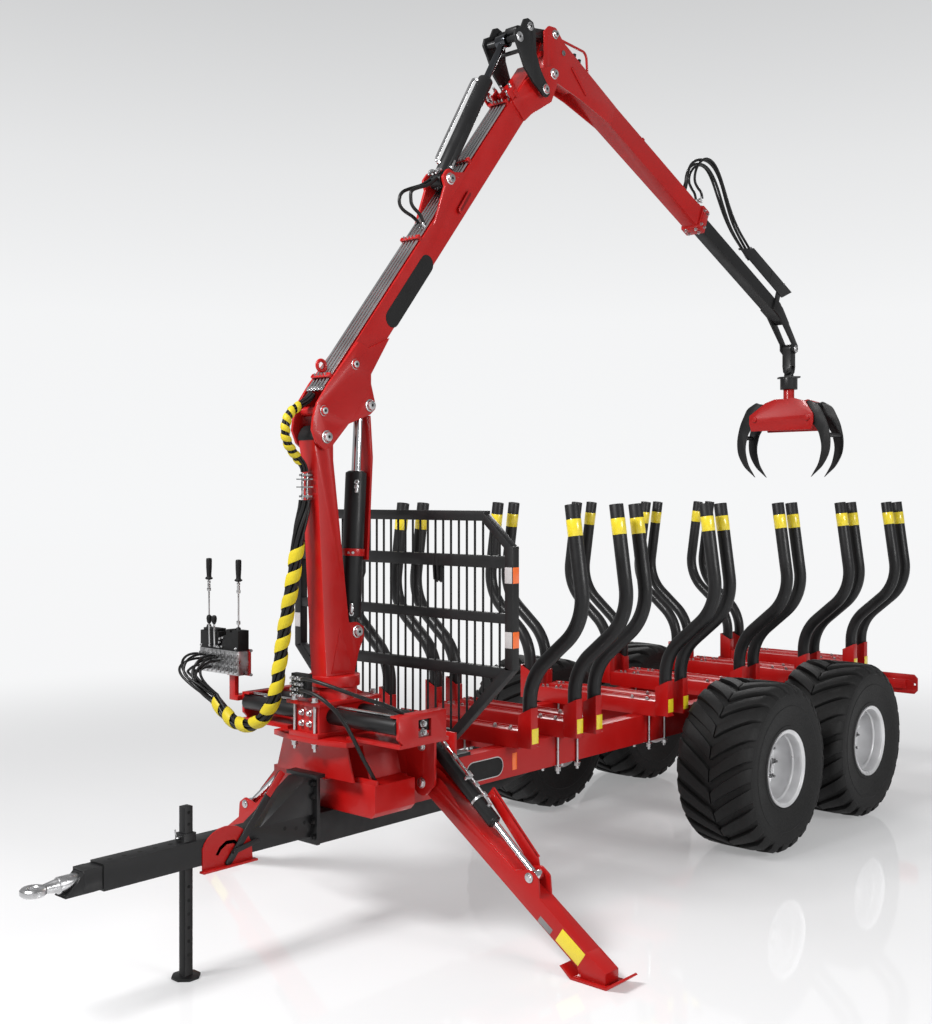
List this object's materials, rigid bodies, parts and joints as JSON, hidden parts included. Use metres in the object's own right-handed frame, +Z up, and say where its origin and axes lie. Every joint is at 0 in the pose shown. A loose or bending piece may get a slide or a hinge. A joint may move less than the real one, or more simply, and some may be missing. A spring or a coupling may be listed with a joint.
{
  "type": "forestry trailer with timber crane",
  "caption": "Tandem-bogie timber trailer with stakes, headboard, drawbar jack, folding stabiliser legs and a slewing knuckle crane with a rotating log grapple.",
  "frame": {"origin": "on the ground under the middle of the trailer's length, on its centre plane", "axes": "+X forward towards the towing eye, +Y to the left, +Z up"},
  "size_m": [7.861, 3.58, 5.6959],
  "materials": {
    "red": "glossy red paint",
    "black": "satin black paint",
    "dark": "matt black",
    "zinc": "zinc plated",
    "steel": "drawn steel",
    "chrome": "hard chromed",
    "silver": "silver paint",
    "tyre": "moulded rubber",
    "rubber": "hose rubber"
  },
  "bodies": {
    "chassis": {"drawbar": "black", "drawbar_inner_tube": "black", "tow_eye": "zinc", "handbrake_lever": "red", "crane_base": "red", "slew_housing": "red", "rack_cylinders": "black", "valve_stand": "red", "valve_block": "dark", "frame_rails": "red", "bunk_beams": "red", "stake_sockets": "red", "stakes": "black", "headboard": "black", "rear_beam": "red", "bogie_axle": "black", "bogie_beam_left": "black", "bogie_beam_right": "black", "hose_base_0": "rubber", "hose_base_1": "rubber", "hose_supply_bundle": "rubber", "hose_valve_0": "rubber", "hose_valve_1": "rubber", "hose_valve_2": "rubber"},
    "jack": {"jack_leg": "black"},
    "column": {"crane_column": "red", "hose_clamp": "zinc", "hose_supply_tail": "rubber"},
    "lift_barrel": {"lift_barrel": "black"},
    "lift_rod": {"lift_rod": "red"},
    "boom": {"boom": "red", "boom_pipes": "steel", "hose_boom_bundle": "rubber"},
    "stick_barrel": {"stick_barrel": "black"},
    "stick_rod": {"stick_rod": "chrome"},
    "knuckle_links": {"knuckle_links": "black"},
    "push_link": {"push_link": "black"},
    "stick": {"stick": "red"},
    "extension": {"extension": "black", "hose_guard": "black", "hose_stick": "rubber"},
    "swing_link": {"swing_link": "black"},
    "rotator": {"rotator": "black"},
    "grapple": {"grapple_frame": "red"},
    "tine_left": {"tine_left": "red"},
    "tine_right": {"tine_right": "red"},
    "leg_left": {"leg_left": "red"},
    "leg_barrel_left": {"leg_barrel_left": "black"},
    "leg_rod_left": {"leg_rod_left": "chrome"},
    "leg_right": {"leg_right": "red"},
    "leg_barrel_right": {"leg_barrel_right": "black"},
    "leg_rod_right": {"leg_rod_right": "chrome"},
    "wheel_front_left": {"tyre_front_left": "tyre", "rim_front_left": "silver"},
    "wheel_rear_left": {"tyre_rear_left": "tyre", "rim_rear_left": "silver"},
    "wheel_front_right": {"tyre_front_right": "tyre", "rim_front_right": "silver"},
    "wheel_rear_right": {"tyre_rear_right": "tyre", "rim_rear_right": "silver"}
  },
  "joints": [
    {"name": "wheel_front_left_spin", "type": "hinge", "parent": "chassis", "child": "wheel_front_left", "pos_m": [-1.052, 0.968, 0.59], "axis": [0, 1, 0], "continuous": true},
    {"name": "wheel_rear_left_spin", "type": "hinge", "parent": "chassis", "child": "wheel_rear_left", "pos_m": [-2.393, 0.968, 0.59], "axis": [0, 1, 0], "continuous": true},
    {"name": "wheel_front_right_spin", "type": "hinge", "parent": "chassis", "child": "wheel_front_right", "pos_m": [-1.052, -0.968, 0.59], "axis": [0, 1, 0], "continuous": true},
    {"name": "wheel_rear_right_spin", "type": "hinge", "parent": "chassis", "child": "wheel_rear_right", "pos_m": [-2.393, -0.968, 0.59], "axis": [0, 1, 0], "continuous": true},
    {"name": "jack_slide", "type": "slide", "parent": "chassis", "child": "jack", "axis": [0, 0, 1], "range_m": [0, 0.4]},
    {"name": "leg_left_fold", "type": "hinge", "parent": "chassis", "child": "leg_left", "pos_m": [1.67, 0.447, 0.85], "axis": [1, 0, 0], "range_deg": [0, 75]},
    {"name": "leg_barrel_left_swing", "type": "hinge", "parent": "chassis", "child": "leg_barrel_left", "pos_m": [1.67, 0.447, 1.06], "axis": [1, 0, 0], "range_deg": [-0.5, 75]},
    {"name": "leg_rod_left_stroke", "type": "slide", "parent": "leg_barrel_left", "child": "leg_rod_left", "axis": [0, 0.7783, -0.6279], "range_m": [-0.2576, 0.002]},
    {"name": "leg_right_fold", "type": "hinge", "parent": "chassis", "child": "leg_right", "pos_m": [1.67, -0.447, 0.85], "axis": [-1, 0, 0], "range_deg": [0, 75]},
    {"name": "leg_barrel_right_swing", "type": "hinge", "parent": "chassis", "child": "leg_barrel_right", "pos_m": [1.67, -0.447, 1.06], "axis": [-1, 0, 0], "range_deg": [-0.5, 75]},
    {"name": "leg_rod_right_stroke", "type": "slide", "parent": "leg_barrel_right", "child": "leg_rod_right", "axis": [0, -0.7783, -0.6279], "range_m": [-0.2576, 0.002]},
    {"name": "crane_slew", "type": "hinge", "parent": "chassis", "child": "column", "pos_m": [2.022, 0, 1.388], "axis": [0, 0, 1], "range_deg": [-185, 185], "deforming": ["hose_supply_bundle"]},
    {"name": "boom_lift", "type": "hinge", "parent": "column", "child": "boom", "pos_m": [2.165, 0, 2.804], "axis": [0, 1, 0], "range_deg": [-15, 24], "deforming": ["hose_boom_bundle"]},
    {"name": "lift_barrel_swing", "type": "hinge", "parent": "column", "child": "lift_barrel", "pos_m": [1.905, 0, 1.69], "axis": [0, 1, 0], "range_deg": [-2.8, 4.4]},
    {"name": "lift_rod_stroke", "type": "slide", "parent": "lift_barrel", "child": "lift_rod", "axis": [-0.0572, 0, 0.9984], "range_m": [-0.081, 0.128]},
    {"name": "stick_swing", "type": "hinge", "parent": "boom", "child": "stick", "pos_m": [0.095, 0, 5.36], "axis": [0, 1, 0], "range_deg": [-28, 50]},
    {"name": "knuckle_link_swing", "type": "hinge", "parent": "boom", "child": "knuckle_links", "pos_m": [0.243, 0, 5.21], "axis": [0, 1, 0], "range_deg": [-21, 37]},
    {"name": "push_link_swing", "type": "hinge", "parent": "knuckle_links", "child": "push_link", "pos_m": [0.411, 0, 5.585], "axis": [0, 1, 0], "range_deg": [-17.6, 10.2]},
    {"name": "stick_barrel_swing", "type": "hinge", "parent": "boom", "child": "stick_barrel", "pos_m": [1.142, 0, 4.446], "axis": [0, 1, 0], "range_deg": [-0.6, 0.8]},
    {"name": "stick_rod_stroke", "type": "slide", "parent": "stick_barrel", "child": "stick_rod", "axis": [-0.5126, 0, 0.8587], "range_m": [-0.248, 0.14]},
    {"name": "extension_slide", "type": "slide", "parent": "stick", "child": "extension", "axis": [-0.9135, 0, -0.4067], "range_m": [-1.25, 0], "deforming": ["hose_stick"]},
    {"name": "hanger_swing", "type": "hinge", "parent": "extension", "child": "swing_link", "pos_m": [-3.46, 0, 3.796], "axis": [0, -1, 0], "range_deg": [-60, 60]},
    {"name": "rotator_swing", "type": "hinge", "parent": "swing_link", "child": "rotator", "pos_m": [-3.46, 0, 3.603], "axis": [1, 0, 0], "range_deg": [-35, 35]},
    {"name": "grapple_turn", "type": "hinge", "parent": "rotator", "child": "grapple", "pos_m": [-3.46, 0, 3.434], "axis": [0, 0, 1], "continuous": true},
    {"name": "tine_left_open", "type": "hinge", "parent": "grapple", "child": "tine_left", "pos_m": [-3.46, 0.255, 3.165], "axis": [1, 0, 0], "range_deg": [-32, 50]},
    {"name": "tine_right_open", "type": "hinge", "parent": "grapple", "child": "tine_right", "pos_m": [-3.46, -0.255, 3.165], "axis": [-1, 0, 0], "range_deg": [-32, 50]}
  ],
  "couplings": [
    {"joint": "leg_barrel_left_swing", "follows": "leg_left_fold", "ratio": 0.9933},
    {"joint": "leg_rod_left_stroke", "follows": "leg_left_fold", "m_per_rad": -0.19525},
    {"joint": "leg_barrel_right_swing", "follows": "leg_right_fold", "ratio": 0.9933},
    {"joint": "leg_rod_right_stroke", "follows": "leg_right_fold", "m_per_rad": -0.19525},
    {"joint": "lift_barrel_swing", "follows": "boom_lift", "ratio": 0.177},
    {"joint": "lift_rod_stroke", "follows": "boom_lift", "m_per_rad": 0.3014},
    {"joint": "knuckle_link_swing", "follows": "stick_swing", "ratio": 0.732},
    {"joint": "push_link_swing", "follows": "stick_swing", "ratio": -0.345},
    {"joint": "stick_barrel_swing", "follows": "stick_swing", "ratio": 0.0104},
    {"joint": "stick_rod_stroke", "follows": "stick_swing", "m_per_rad": -0.2813},
    {"joint": "tine_right_open", "follows": "tine_left_open", "ratio": 1}
  ]
}
